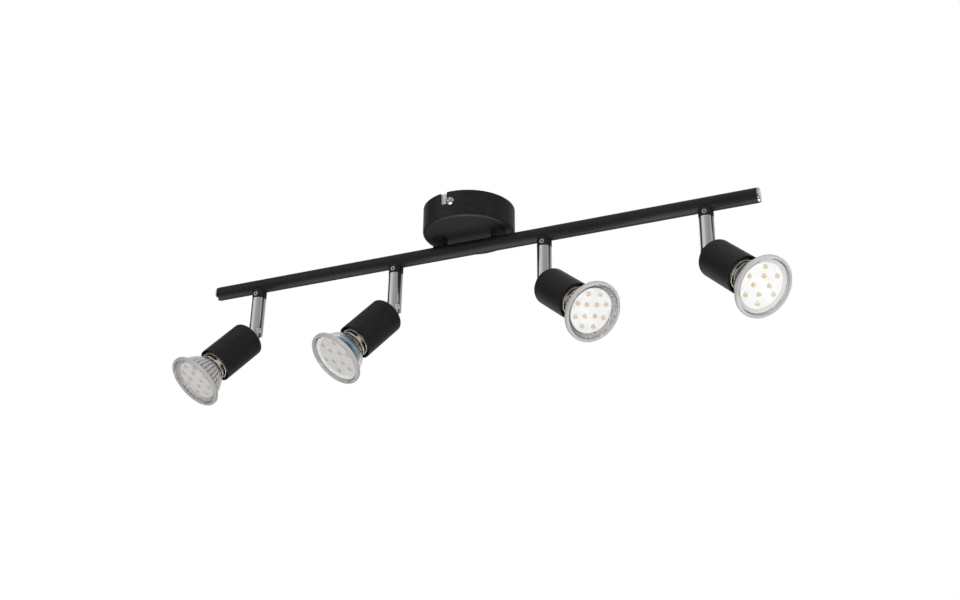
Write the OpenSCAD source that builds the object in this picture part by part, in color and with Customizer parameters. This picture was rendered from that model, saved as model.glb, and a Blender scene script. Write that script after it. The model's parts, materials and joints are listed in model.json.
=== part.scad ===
// Ceiling spot bar: a round canopy carries a straight tube, and four arms
// under the tube each hold a lamp sleeve that swivels, tilts and takes a
// twist-lock reflector lamp. X runs along the bar, +Z is up, and the origin
// is the middle of the ceiling bracket's top face, on the ceiling plane.

/* [Bar] */
// Length of the bar between the outer faces of its end caps
bar_length = 510; // [420:1:700]
// Outside diameter of the bar tube
bar_d = 12.7; // [12:0.1:16]
// Wall of the bar tube
bar_wall = 1; // [0.8:0.1:1.5]
// Distance of each outer arm's axis from the bar's end
end_inset = 45; // [12:1:60]
// Height of the bar's axis below the ceiling
bar_drop = 36; // [35:0.5:60]
// How far each end cap stands out of the tube
end_cap_t = 1.6; // [1:0.1:3]

/* [Canopy] */
// Outside diameter of the canopy at the ceiling
canopy_d = 80; // [66:1:120]
// Height of the canopy
canopy_h = 24; // [20:0.5:28]
// Wall of the canopy's pressed steel
canopy_wall = 1; // [0.8:0.1:2]
// Radius of the canopy's lower edge, outside
canopy_edge_r = 2.4; // [1.2:0.1:4]
// Distance of each standoff's axis from the canopy's outside
standoff_inset = 12.5; // [10:0.5:16]
// Outside diameter of a standoff
standoff_d = 12.7; // [12:0.1:16]

/* [Ceiling bracket] */
// Width of the bracket's strip
bracket_w = 20; // [16:0.5:24]
// Thickness of the bracket's strip
bracket_t = 1.5; // [1:0.1:2]
// Gap between the bracket's flange corners and the canopy wall
bracket_gap = 0.4; // [0.2:0.1:2]
// Distance between the centres of the two ceiling screw slots
slot_pitch = 44; // [36:1:50]
// Width of a ceiling screw slot
slot_w = 4.5; // [4:0.1:6]
// End-to-end length of a ceiling screw slot
slot_len = 12; // [8:0.5:14]
// Diameter of the two side screws
side_screw_d = 4; // [3:0.5:5]
// Depth of the side screws below the ceiling
side_screw_drop = 8.8; // [8:0.1:12]
// Diameter of a side screw's head
side_head_d = 7.2; // [6.5:0.1:9]

/* [Arms] */
// Outside diameter of the arms and of the saddles above them
arm_d = 12.7; // [10.5:0.1:16]
// Height of the saddles' flat top below the bar's axis
saddle_top = 4.4; // [3.5:0.1:5]
// Height of the saddles' lower face below the bar's underside
saddle_h = 6.65; // [6.2:0.05:11]
// Height of the tilt pin below the bar's axis
pivot_drop = 45.5; // [40:0.5:60]
// Width of the fork slot at the arm's lower end
fork_slot_w = 2.6; // [2:0.1:4]
// Diameter of the tilt pin
tilt_pin_d = 3; // [2.5:0.1:4]
// Lean of each arm about the bar, towards the front, in degrees
lean = [1, 1.5, 2.5, 4];
// Heading of each lamp about its arm, from +X, in degrees
aim = [-123.3, -126.1, -29.4, -33];
// Dip of each lamp below the horizontal, in degrees
dip = [48.9, 48.6, 39, 43.5];

/* [Lamp sleeve] */
// Outside diameter of a lamp sleeve
sleeve_d = 32; // [26.5:0.5:40]
// Length of a lamp sleeve
sleeve_len = 43; // [38:0.5:48]
// Wall of a lamp sleeve
sleeve_wall = 1.2; // [0.8:0.1:1.6]
// Radius of the sleeve's rear edge, outside
sleeve_edge_r = 3; // [1.5:0.1:5]
// Distance from the tilt pin to the sleeve's rear face
sleeve_back = 9; // [8:0.1:14]
// Width of the tongue that the fork holds
tongue_w = 11; // [9:0.1:12]

/* [Lamp] */
// Diameter of the lamp's rim
lamp_d = 50; // [41.5:0.5:60]
// Length of the lamp without its pins
lamp_len = 47; // [44:0.5:56]
// Distance between the lamp's two pins
pin_pitch = 10; // [9.5:0.1:11]
// Diameter of a lamp pin's head
pin_head_d = 5; // [4:0.1:5.2]
// Angle that the lamp turns to unlock
lamp_turn = 40; // [30:1:50]
// Distance of the chip board's edge from the rim's outside
board_inset = 6.3; // [5.5:0.1:9]

/* [Hidden] */
$fn = 64;
eps = 0.01;
running_gap = 0.05;        // radial clearance of a shaft that turns
side_gap = 0.2;            // clearance on each side of a tongue or plate
seat_gap = 0.1;            // clearance between faces that turn on each other
thread_bite = 0.05;        // how far a screw's thread sits into its hole
cope_gap = 0.02;           // clearance where a coped end meets the bar

bar_r = bar_d / 2;
bar_in_r = bar_r - bar_wall;
head_spacing = (bar_length - 2 * end_inset) / 3;
tube_half = bar_length / 2 - end_cap_t;
cap_plug_len = 6;
cap_edge = 0.6;

canopy_r = canopy_d / 2;
canopy_in_r = canopy_r - canopy_wall;
floor_z = -canopy_h + canopy_wall;    // the canopy's inner floor

flange_y = sqrt(pow(canopy_in_r, 2) - pow(bracket_w / 2, 2)) - bracket_gap;
flange_drop = side_screw_drop + side_screw_d + 1.2;
side_screw_len = 10;
side_head_h = 2.2;
entry_shift = side_screw_d + 2;       // entry slot beside the screw
entry_w = side_screw_d + 2;
leg_h = side_screw_d + 0.4;
earth_hole_y = 9;

standoff_x = canopy_r - standoff_inset;
standoff_cut = 4.4;                   // coped end above the bar's axis
standoff_r = standoff_d / 2;
nipple_d = 9;
nipple_bore_d = 6;
nipple_wall_reach = 3.4;              // end of a nipple inside the bar
nipple_nut_af = 13;
nipple_nut_h = 3;
nipple_over_nut = 1.6;

arm_r = arm_d / 2;
saddle_bottom = bar_r + saddle_h;
swivel_d = 6;
grub_d = 4;
grub_gap = 0.35;           // clearance between a grub screw's end and the swivel screw
grub_len = arm_r - swivel_d / 2 - grub_gap;
grub_drop = bar_r + 3.05;
swivel_bore_d = 3.6;
swivel_collar_d = 8.6;
swivel_collar_h = 1.6;
arm_top_t = 2;
arm_bore_d = 9.4;
arm_top = saddle_bottom + seat_gap;
fork_solid = 9;                       // solid length above the tilt pin
arm_end_r = arm_r + 0.25;
slot_over = tongue_w / 2 + 0.6;       // slot above the tilt pin
wire_hole_d = 2.2;
screw_head_d = 5;
screw_head_h = 1.6;
counterbore_d = screw_head_d + 0.6;
counterbore_depth = 2;
pivot_nut_af = 5;

// Swivel stop: a peg on the arm runs in an annular groove in the saddle
peg_d = 1.2;
peg_h = 1;
groove_w = 1.8;
groove_h = 1.3;
groove_wall = 0.7;         // saddle wall left outside the groove
peg_ring_r = arm_r - groove_wall - groove_w / 2;
// Heading of each saddle's stop block and half its angle, in degrees
stop_dir = [90, 90, 90, 210];
stop_half = [9, 9, 9, 30];

tongue_t = fork_slot_w - 2 * side_gap;
sleeve_r = sleeve_d / 2;
sleeve_in_r = sleeve_r - sleeve_wall;
sleeve_front = sleeve_back + sleeve_len;
sleeve_floor = sleeve_back + sleeve_wall;
sleeve_hole_d = 5;
sleeve_hole_x = 8.5;
holder_r = sleeve_in_r - 1.5;
holder_boss_r = 5;
holder_back = sleeve_floor + 4;
clip_t = 0.5;
clip_in_r = holder_r + seat_gap / 2;
clip_ring_w = 6;
clip_out = 4.4;                       // how far the clip stands out of the sleeve
clip_top = sleeve_front + clip_out;
clip_band = 1;                        // metal left in front of the clip's windows
clip_window_h = 2.6;
clip_window_angle = 52;
clip_leg_angle = 44;
clip_leg_reach = 10;                  // how far a leg grips the lampholder

lamp_r = lamp_d / 2;
lamp_front = sleeve_front + 26;
lamp_back = lamp_front - lamp_len;
holder_front = lamp_back - seat_gap;
rim_t = 3.6;
glass_t = 1.2;
neck_gap = 2.3;                       // between the lamp's neck and the clip
neck_r = clip_in_r - neck_gap;
shoulder_z = clip_top + 1.1;
bowl_r = lamp_r - 2.8;
bowl_top = lamp_front - rim_t;
bowl_steps = 12;
cover_t = 1.2;
cover_r = lamp_r - 2.6;
cover_back = lamp_front - 2;
base_len = 7.5;
base_r = neck_r - glass_t - seat_gap;
base_flat_w = 17;
pin_neck_d = 2.8;
pin_len = 7;
pin_head_h = 2.6;
keyhole_plate = 3;
keyhole_gap = 0.3;
slot_step = 0.06;                     // round slot ends stand proud by this
key_depth = pin_len + 1;
board_t = 1.6;
board_z = lamp_front - 4.4;           // the board's front face
board_r = lamp_r - board_inset;
stem_r = 4;
chip_l = 3.5;
chip_w = 2.8;
chip_t = 0.7;

// Chips of each lamp: an outer ring set in from the board's edge round an
// inner ring of four, each ring with its first chip's heading in degrees
outer_count = [8, 6, 8, 6];
outer_inset = [4.5, 4, 4.5, 4];
outer_phase = [-8, 14, -8, 18];
inner_count = 4;
inner_r = [6.6, 7.3, 6.6, 7.3];
inner_phase = [-28, 11, -28, 14];

block_l = 30;
block_w = 17;
block_h = 11;
block_hole_d = 3.2;

matte_black = "#1c1c1c";
nickel = "#b9b8b4";
zinc = "#c8c9c9";
ceramic = "#e9e4d8";

// ---------- helpers ----------

// Place of arm i along the bar, from the bar's middle
function head_x(i) = (i - 1.5) * head_spacing;

// Solid tube along Z from z0 up to z1
module tube(r, bore_r, z0, z1) {
    difference() {
        translate([0, 0, z0]) cylinder(r = r, h = z1 - z0);
        translate([0, 0, z0 - 1]) cylinder(r = bore_r, h = z1 - z0 + 2);
    }
}

// Cylinder along X, centred
module rod_x(r, len) {
    rotate([0, 90, 0]) cylinder(r = r, h = len, center = true);
}

// Cylinder along Y from y0 to y1
module rod_y(r, y0, y1) {
    translate([0, y1, 0]) rotate([90, 0, 0]) cylinder(r = r, h = y1 - y0);
}

// Frame of saddle i: the bar's axis, with Z up the leaning arm
module at_saddle(i) {
    translate([head_x(i), 0, -bar_drop]) rotate([-lean[i], 0, 0]) children();
}

// Frame of arm i: as its saddle, turned so that X is the lamp's heading
module at_arm(i) {
    at_saddle(i) rotate([0, 0, aim[i]]) children();
}

// Frame of lamp i: the tilt pin's middle, Z along the beam, Y along the pin
module at_lamp(i) {
    at_arm(i) translate([0, 0, -pivot_drop]) rotate([0, 90 + dip[i], 0]) children();
}

// Annular sector about Z, centred on heading a0, as an exact ring segment
module ring_sector(r0, r1, z0, z1, a0, angle) {
    rotate([0, 0, a0 - angle / 2])
        rotate_extrude(angle = angle, $fn = 96)
            translate([r0, z0]) square([r1 - r0, z1 - z0]);
}

// Arc-shaped slot about Z from heading 0 to the unlocking angle. Its round
// ends are a hair wider than the arc between them, so they cross it cleanly.
module turn_slot(half_w, z0, z1) {
    arc_w = half_w - slot_step;
    ring_sector(pin_pitch / 2 - arc_w, pin_pitch / 2 + arc_w, z0, z1,
                lamp_turn / 2, lamp_turn);
    for (a = [0, lamp_turn])
        rotate([0, 0, a]) translate([pin_pitch / 2, 0, z0])
            cylinder(r = half_w, h = z1 - z0);
}

// ---------- canopy and ceiling bracket ----------

module ceiling_bracket() color(zinc) difference() {
    union() {
        translate([-bracket_w / 2, -flange_y, -bracket_t])
            cube([bracket_w, 2 * flange_y, bracket_t]);
        for (s = [-1, 1])
            translate([-bracket_w / 2, s > 0 ? flange_y - bracket_t : -flange_y, -flange_drop])
                cube([bracket_w, bracket_t, flange_drop]);
    }
    // slots for the two ceiling screws
    for (s = [-1, 1]) translate([0, s * slot_pitch / 2, -bracket_t - 1]) {
        for (e = [-1, 1])
            translate([0, e * (slot_len - slot_w) / 2, 0])
                cylinder(d = slot_w, h = bracket_t + 2);
        translate([-slot_w / 2, -(slot_len - slot_w) / 2, 0])
            cube([slot_w, slot_len - slot_w, bracket_t + 2]);
    }
    // tapped holes for the side screws, and one for an earth screw
    for (s = [-1, 1]) translate([0, 0, -side_screw_drop])
        rod_y(side_screw_d / 2 - thread_bite, s > 0 ? flange_y - 4 : -flange_y - 2,
              s > 0 ? flange_y + 2 : -flange_y + 4);
    translate([6, earth_hole_y, -bracket_t - 1]) cylinder(d = 3.3, h = bracket_t + 2);
}

// One pan-head cross-slot screw along -Y, its head seated at y = 0
module pan_screw(d, len, head_d, head_h) {
    dome_r = (pow(head_d / 2, 2) + pow(head_h, 2)) / (2 * head_h);
    rotate([90, 0, 0]) difference() {
        union() {
            translate([0, 0, -len]) cylinder(d = d, h = len + eps);
            intersection() {
                cylinder(d = head_d, h = head_h + 1);
                translate([0, 0, head_h - dome_r]) sphere(r = dome_r, $fn = 96);
            }
        }
        for (a = [0, 90]) rotate([0, 0, a])
            translate([-head_d * 0.3, -head_d * 0.07, head_h * 0.45])
                cube([head_d * 0.6, head_d * 0.14, head_h]);
    }
}

module side_screws() color(nickel)
    for (a = [0, 180]) rotate([0, 0, a])
        translate([0, -canopy_r - 0.05, -side_screw_drop])
            pan_screw(side_screw_d, side_screw_len, side_head_d, side_head_h);

// Section of the canopy: a flat pressed cup with a rounded lower edge
module canopy_section() {
    er = canopy_edge_r;
    ir = max(er - canopy_wall, 0.2);
    difference() {
        union() {
            translate([0, -canopy_h]) square([canopy_r - er, canopy_h]);
            translate([0, -canopy_h + er]) square([canopy_r, canopy_h - er]);
            translate([canopy_r - er, -canopy_h + er]) circle(r = er);
        }
        union() {
            translate([-1, floor_z]) square([canopy_in_r - ir + 1, canopy_h]);
            translate([-1, floor_z + ir]) square([canopy_in_r + 1, canopy_h]);
            translate([canopy_in_r - ir, floor_z + ir]) circle(r = ir);
        }
        translate([-2 * canopy_r, -2 * canopy_h]) square([2 * canopy_r, 3 * canopy_h]);
    }
}

// Bayonet slot in the canopy's wall: down from the rim, then across to the screw
module bayonet_slot() {
    y0 = -canopy_r - 2;
    depth = canopy_wall + 8;
    z0 = -side_screw_drop - leg_h / 2;
    translate([-entry_shift - entry_w / 2, y0, z0]) cube([entry_w, depth, -z0 + 1]);
    translate([-entry_shift - entry_w / 2, y0, z0])
        cube([entry_shift + entry_w / 2, depth, leg_h]);
    translate([0, 0, -side_screw_drop]) rod_y(leg_h / 2, y0, y0 + depth);
}

module canopy() color(matte_black) difference() {
    rotate_extrude($fn = 128) canopy_section();
    for (a = [0, 180]) rotate([0, 0, a]) bayonet_slot();
    for (s = [-1, 1]) translate([s * standoff_x, 0, -canopy_h - 1])
        cylinder(d = nipple_d + 0.4, h = canopy_wall + 2);
}

// ---------- standoffs ----------

module standoffs() color(matte_black)
    for (s = [-1, 1]) translate([s * standoff_x, 0, 0]) difference() {
        tube(standoff_r, nipple_d / 2 + side_gap, -bar_drop + standoff_cut, -canopy_h);
        translate([0, 0, -bar_drop]) rod_x(bar_r + cope_gap, 2 * standoff_d);
    }

module standoff_nipples() color(nickel)
    for (s = [-1, 1]) translate([s * standoff_x, 0, 0])
        tube(nipple_d / 2, nipple_bore_d / 2, -bar_drop + nipple_wall_reach,
             floor_z + nipple_nut_h + nipple_over_nut);

module nipple_nuts() color(zinc)
    for (s = [-1, 1]) translate([s * standoff_x, 0, floor_z]) difference() {
        cylinder(d = nipple_nut_af / cos(30), h = nipple_nut_h, $fn = 6);
        translate([0, 0, -1]) cylinder(r = nipple_d / 2 - thread_bite, h = nipple_nut_h + 2);
    }

// Screw terminal block, three ways side by side, on the canopy's floor
module terminal_block() color(ceramic) translate([0, 0, floor_z]) difference() {
    union() {
        translate([-block_w / 2, -block_l / 2, 0]) cube([block_w, block_l, block_h * 0.6]);
        for (k = [-1:1]) translate([-block_w / 2 + 3, k * block_l / 3 - 3.6, 0])
            cube([block_w - 6, 7.2, block_h]);
    }
    for (k = [-1:1]) translate([0, k * block_l / 3, block_h * 0.35]) rod_x(block_hole_d / 2, 40);
    for (k = [-1:1], s = [-1, 1]) translate([s * 3.2, k * block_l / 3, block_h * 0.35])
        cylinder(d = block_hole_d, h = block_h);
}

// ---------- bar ----------

module bar() color(matte_black) translate([0, 0, -bar_drop]) difference() {
    rod_x(bar_r, 2 * tube_half);
    rod_x(bar_in_r, 2 * tube_half + 2);
    for (s = [-1, 1]) translate([s * standoff_x, 0, 0])
        cylinder(r = nipple_d / 2 - thread_bite, h = bar_d);
    for (i = [0:3]) translate([head_x(i), 0, 0]) rotate([-lean[i], 0, 0])
        translate([0, 0, -bar_d]) cylinder(r = swivel_d / 2 - thread_bite, h = bar_d);
}

// End cap pointing along +X: a plug in the tube and a chamfered disc outside
module end_cap() color(nickel) translate([0, 0, -bar_drop]) rotate([0, 90, 0]) {
    translate([0, 0, tube_half]) rotate_extrude() polygon([
        [0, -cap_plug_len], [bar_in_r, -cap_plug_len], [bar_in_r, 0], [bar_r, 0],
        [bar_r, end_cap_t - cap_edge], [bar_r - cap_edge, end_cap_t], [0, end_cap_t]]);
}

// ---------- saddles and swivels ----------

// Black collar coped to the bar, with the swivel's stop groove underneath
module saddle(i) color(matte_black) at_saddle(i) difference() {
    translate([0, 0, -saddle_bottom]) cylinder(r = arm_r, h = saddle_bottom - saddle_top);
    rod_x(bar_r + cope_gap, 3 * arm_d);
    translate([0, 0, -saddle_bottom - 1])
        cylinder(r = swivel_d / 2 - thread_bite, h = saddle_bottom);
    translate([0, 0, -grub_drop]) rod_y(grub_d / 2 - thread_bite, -arm_d, -swivel_d / 2);
    ring_sector(peg_ring_r - groove_w / 2, peg_ring_r + groove_w / 2,
                -saddle_bottom - 1, -saddle_bottom + groove_h,
                stop_dir[i] + 180, 360 - 2 * stop_half[i]);
}

module grub_screws() color(nickel)
    for (i = [0:3]) at_saddle(i) translate([0, -arm_r - 0.05, -grub_drop])
        difference() {
            rod_y(grub_d / 2, 0, grub_len);
            rotate([90, 0, 0]) translate([0, 0, -1.6]) cylinder(d = 2 / cos(30), h = 3, $fn = 6);
        }

// Hollow swivel screw: its thread holds the saddle, its collar the arm
module swivel_nipples() color(nickel)
    for (i = [0:3]) at_saddle(i) difference() {
        union() {
            translate([0, 0, -arm_top - arm_top_t - seat_gap])
                cylinder(d = swivel_d, h = arm_top + arm_top_t + seat_gap - bar_in_r + 1.6);
            translate([0, 0, -arm_top - arm_top_t - seat_gap - swivel_collar_h])
                cylinder(d = swivel_collar_d, h = swivel_collar_h);
        }
        translate([0, 0, -arm_top - arm_top_t - 5]) cylinder(d = swivel_bore_d, h = 3 * bar_d);
    }

// ---------- arms ----------

// Bright turned arm: hollow above, solid at the fork, round lower end
module arm(i) color(nickel) at_arm(i) difference() {
    intersection() {
        translate([0, 0, -pivot_drop - arm_end_r - 1])
            cylinder(r = arm_r, h = pivot_drop + arm_end_r + 1 - arm_top);
        union() {
            translate([-arm_d, -arm_d, -pivot_drop])
                cube([2 * arm_d, 2 * arm_d, pivot_drop - arm_top]);
            translate([0, 0, -pivot_drop]) rod_y(arm_end_r, -arm_d, arm_d);
        }
    }
    // hollow for the wires, with a smaller hole down to the fork
    translate([0, 0, -pivot_drop + fork_solid])
        cylinder(d = arm_bore_d, h = pivot_drop - fork_solid - arm_top - arm_top_t);
    translate([0, 0, -pivot_drop]) cylinder(d = wire_hole_d, h = fork_solid + 1);
    // bore that turns on the swivel screw
    translate([0, 0, -arm_top - arm_top_t - 1])
        cylinder(r = swivel_d / 2 + running_gap, h = arm_top_t + 2);
    // fork slot, tilt pin hole, head recess and nut recess
    translate([-arm_d, -fork_slot_w / 2, -pivot_drop - arm_d])
        cube([2 * arm_d, fork_slot_w, arm_d + slot_over]);
    translate([0, 0, -pivot_drop]) {
        rod_y(tilt_pin_d / 2 + running_gap, -arm_d, arm_d);
        rod_y(counterbore_d / 2, arm_r - counterbore_depth, arm_d);
        rod_y(counterbore_d / 2 + 0.4, -arm_d, -arm_r + counterbore_depth);
    }
}

// Peg on the arm's top face that runs in the saddle's stop groove
module stop_peg(i) color(nickel) at_arm(i)
    translate([peg_ring_r, 0, -arm_top - 0.5]) cylinder(d = peg_d, h = peg_h + 0.5);

module arm_with_peg(i) {
    union() {
        arm(i);
        stop_peg(i);
    }
}

// Tilt screw across the fork, with its nut on the far side
module tilt_screw(i) color(nickel) at_arm(i) translate([0, 0, -pivot_drop]) {
    head_y = arm_r - counterbore_depth;
    difference() {
        union() {
            rod_y(tilt_pin_d / 2, -arm_r + 0.3, head_y + eps);
            rod_y(screw_head_d / 2, head_y, head_y + screw_head_h);
        }
        for (a = [0, 90]) rotate([0, a, 0])
            translate([-1.5, head_y + 0.9, -0.35]) cube([3, 2, 0.7]);
    }
    difference() {
        translate([0, -head_y, 0]) rotate([90, 0, 0])
            cylinder(d = pivot_nut_af / cos(30), h = 1.5, $fn = 6);
        rod_y(tilt_pin_d / 2 + eps, -arm_d, arm_d);
    }
}

// ---------- lamp sleeve ----------

module sleeve_section() {
    er = sleeve_edge_r;
    ir = er - sleeve_wall;
    difference() {
        union() {
            translate([0, sleeve_back]) square([sleeve_r - er, sleeve_len]);
            translate([0, sleeve_back + er]) square([sleeve_r, sleeve_len - er]);
            translate([sleeve_r - er, sleeve_back + er]) circle(r = er);
        }
        union() {
            translate([-1, sleeve_floor]) square([sleeve_in_r - ir + 1, sleeve_len]);
            translate([-1, sleeve_floor + ir]) square([sleeve_in_r + 1, sleeve_len]);
            translate([sleeve_in_r - ir, sleeve_floor + ir]) circle(r = ir);
        }
        translate([-2 * sleeve_d, -1]) square([2 * sleeve_d, 4 * sleeve_len]);
    }
}

// Black sleeve with the tongue that sits in the arm's fork
module sleeve(i) color(matte_black) at_lamp(i) difference() {
    union() {
        rotate_extrude($fn = 96) sleeve_section();
        rod_y(tongue_w / 2, -tongue_t / 2, tongue_t / 2);
        translate([-tongue_w / 2, -tongue_t / 2, 0])
            cube([tongue_w, tongue_t, sleeve_back + sleeve_wall / 2]);
    }
    rod_y(tilt_pin_d / 2 + running_gap, -tongue_t, tongue_t);
    translate([-sleeve_hole_x, 0, sleeve_back - 1]) cylinder(d = sleeve_hole_d, h = sleeve_wall + 2);
}

// Ceramic lampholder with two keyhole slots for the lamp's pins
module lampholder(i) color(ceramic) at_lamp(i) difference() {
    union() {
        translate([0, 0, holder_back]) cylinder(r = holder_r, h = holder_front - holder_back);
        translate([0, 0, sleeve_floor]) cylinder(r = holder_boss_r, h = holder_back - sleeve_floor + 1);
    }
    for (a = [0, 180]) rotate([0, 0, a]) {
        turn_slot(pin_neck_d / 2 + keyhole_gap, holder_front - keyhole_plate - 1, holder_front + 1);
        turn_slot(pin_head_d / 2 + keyhole_gap, holder_front - key_depth,
                  holder_front - keyhole_plate);
        rotate([0, 0, lamp_turn]) translate([pin_pitch / 2, 0, holder_front - keyhole_plate - 1])
            cylinder(r = pin_head_d / 2 + keyhole_gap, h = keyhole_plate + 2);
    }
}

// Sprung metal clip: a ring with four windows round the lamp's neck, on two
// legs, which is a tube with the metal between its legs cut away
module lamp_clip(i) color(nickel) at_lamp(i) {
    leg_end = holder_front - clip_leg_reach;
    difference() {
        tube(clip_in_r + clip_t, clip_in_r, leg_end, clip_top);
        for (a = [0, 180])
            ring_sector(clip_in_r - 1, clip_in_r + clip_t + 1, leg_end - 1,
                        clip_top - clip_ring_w, a, 180 - clip_leg_angle);
        for (a = [45:90:315])
            ring_sector(clip_in_r - 1, clip_in_r + clip_t + 1,
                        clip_top - clip_band - clip_window_h, clip_top - clip_band,
                        a, clip_window_angle);
    }
}

// ---------- lamp ----------

// Point of the reflector's bowl, t from 0 at the neck to 1 at the rim: the
// height grows with the square of the distance from the neck
function bowl(t, inset) = [
    neck_r + (bowl_r - neck_r) * t - inset,
    shoulder_z + (bowl_top - shoulder_z) * pow(t, 2) + inset * (1 - t)
];

// Clear glass shell: neck, bowl and rim
module lamp_glass(i) color("#d7dadb", 0.5) at_lamp(i) rotate_extrude($fn = 96) polygon(concat(
    [[neck_r, lamp_back + 4]],
    [for (k = [0:bowl_steps]) bowl(k / bowl_steps, 0)],
    [[lamp_r - 0.4, bowl_top], [lamp_r, bowl_top + 0.5], [lamp_r, lamp_front - 0.7],
     [lamp_r - 0.7, lamp_front], [cover_r + side_gap, lamp_front],
     [cover_r + side_gap, cover_back - 0.1], [cover_r - 0.9, cover_back - 0.1]],
    [for (k = [bowl_steps:-1:0]) bowl(k / bowl_steps, glass_t)],
    [[neck_r - glass_t, lamp_back + 4]]
));

// Ceramic foot of the lamp, between the neck and the lampholder
module lamp_base(i) color(ceramic) at_lamp(i) union() {
    intersection() {
        translate([0, 0, lamp_back]) cylinder(r = base_r, h = base_len);
        translate([-base_r - 1, -base_flat_w / 2, lamp_back])
            cube([2 * base_r + 2, base_flat_w, base_len]);
    }
    translate([0, 0, lamp_back + base_len - 1])
        cylinder(r = stem_r, h = board_z - board_t - lamp_back - base_len + 1);
}

module lamp_pins(i) color(nickel) at_lamp(i)
    for (s = [-1, 1]) translate([s * pin_pitch / 2, 0, lamp_back - pin_len]) {
        cylinder(d = pin_head_d, h = pin_head_h);
        translate([0, 0, pin_head_h - eps]) cylinder(d = pin_neck_d, h = pin_len - pin_head_h + eps);
    }

module led_board(i) color("white") at_lamp(i)
    translate([0, 0, board_z - board_t]) cylinder(r = board_r, h = board_t);

// Ring of light-emitting chips on the board, their long sides along the ring
module chip_ring(count, r, phase) {
    for (k = [0:count - 1]) rotate([0, 0, phase + 360 * k / count])
        translate([r - chip_w / 2, -chip_l / 2, board_z]) cube([chip_w, chip_l, chip_t]);
}

module led_chips(i) color("#f4c274") at_lamp(i) {
    chip_ring(outer_count[i], board_r - outer_inset[i], outer_phase[i]);
    chip_ring(inner_count, inner_r[i], inner_phase[i]);
}

module lamp_cover(i) color("#e8ecec", 0.4) at_lamp(i)
    translate([0, 0, cover_back]) cylinder(r = cover_r, h = cover_t);

// ---------- nodes ----------

ceiling_bracket();
side_screws();
canopy();
standoffs();
standoff_nipples();
nipple_nuts();
terminal_block();
bar();
mirror([1, 0, 0]) end_cap();  // end_cap_left
end_cap();  // end_cap_right
grub_screws();
swivel_nipples();

for (i = [0:3]) {
    saddle(i);
    arm_with_peg(i);
    tilt_screw(i);
    sleeve(i);
    lampholder(i);
    lamp_clip(i);
    lamp_glass(i);
    lamp_base(i);
    lamp_pins(i);
    led_board(i);
    led_chips(i);
    lamp_cover(i);
}
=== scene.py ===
"""Finishes and fine shapes of a four-lamp ceiling spot bar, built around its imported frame."""

import json
import logging
import math
from dataclasses import dataclass, field
from enum import Enum

import bpy
import numpy as np
from mathutils import Matrix, Vector


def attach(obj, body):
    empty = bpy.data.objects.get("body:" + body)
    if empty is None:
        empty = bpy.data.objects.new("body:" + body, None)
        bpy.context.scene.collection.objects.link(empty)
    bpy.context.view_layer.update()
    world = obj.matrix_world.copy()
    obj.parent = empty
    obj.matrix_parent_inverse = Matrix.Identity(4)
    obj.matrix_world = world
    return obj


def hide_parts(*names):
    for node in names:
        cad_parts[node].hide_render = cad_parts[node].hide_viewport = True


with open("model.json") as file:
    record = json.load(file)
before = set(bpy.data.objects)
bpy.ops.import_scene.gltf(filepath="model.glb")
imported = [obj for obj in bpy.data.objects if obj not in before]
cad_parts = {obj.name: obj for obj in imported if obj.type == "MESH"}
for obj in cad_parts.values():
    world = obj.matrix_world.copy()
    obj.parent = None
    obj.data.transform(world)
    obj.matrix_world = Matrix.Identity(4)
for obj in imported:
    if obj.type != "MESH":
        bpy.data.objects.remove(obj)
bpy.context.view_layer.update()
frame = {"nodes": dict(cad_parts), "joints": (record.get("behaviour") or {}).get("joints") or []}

LOG = logging.getLogger("spot_bar")
MM = 0.001
LAMP_COUNT = 4
ETCH = "etched"


# ---------------------------------------------------------------- surfaces


@dataclass
class Surface:
    """Vertices in millimetres, the faces between them, and how far each vertex is etched."""

    points: np.ndarray
    faces: list
    etched: np.ndarray | None = None

    def placed(self, place: "Placement") -> "Surface":
        """The same surface carried into the object's frame by a placement."""
        return Surface(place.carry(self.points), self.faces, self.etched)


@dataclass
class Placement:
    """A right-handed local frame: an origin and three unit axes, in millimetres."""

    origin: np.ndarray
    x_axis: np.ndarray
    y_axis: np.ndarray
    z_axis: np.ndarray

    def carry(self, points: np.ndarray) -> np.ndarray:
        """Local points written in the object's frame: origin plus each coordinate times its axis.

        Args:
            points: array of shape (n, 3), in this frame's own millimetres.

        Returns:
            Array of the same shape in the object's frame, in millimetres.
        """
        axes = np.stack([self.x_axis, self.y_axis, self.z_axis])
        return self.origin + points @ axes

    def turned(self, angle: float) -> "Placement":
        """This frame turned about its own Z axis by an angle in degrees.

        Args:
            angle: turn in degrees, positive by the right-hand rule.

        Returns:
            The turned placement, with the same origin.
        """
        c, s = math.cos(math.radians(angle)), math.sin(math.radians(angle))
        return Placement(self.origin, c * self.x_axis + s * self.y_axis,
                         c * self.y_axis - s * self.x_axis, self.z_axis)

    def shifted(self, x: float, y: float, z: float) -> "Placement":
        """This frame with its origin moved along its own axes by x, y and z millimetres."""
        return Placement(self.carry(np.array([[x, y, z]], float))[0], self.x_axis, self.y_axis, self.z_axis)


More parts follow.
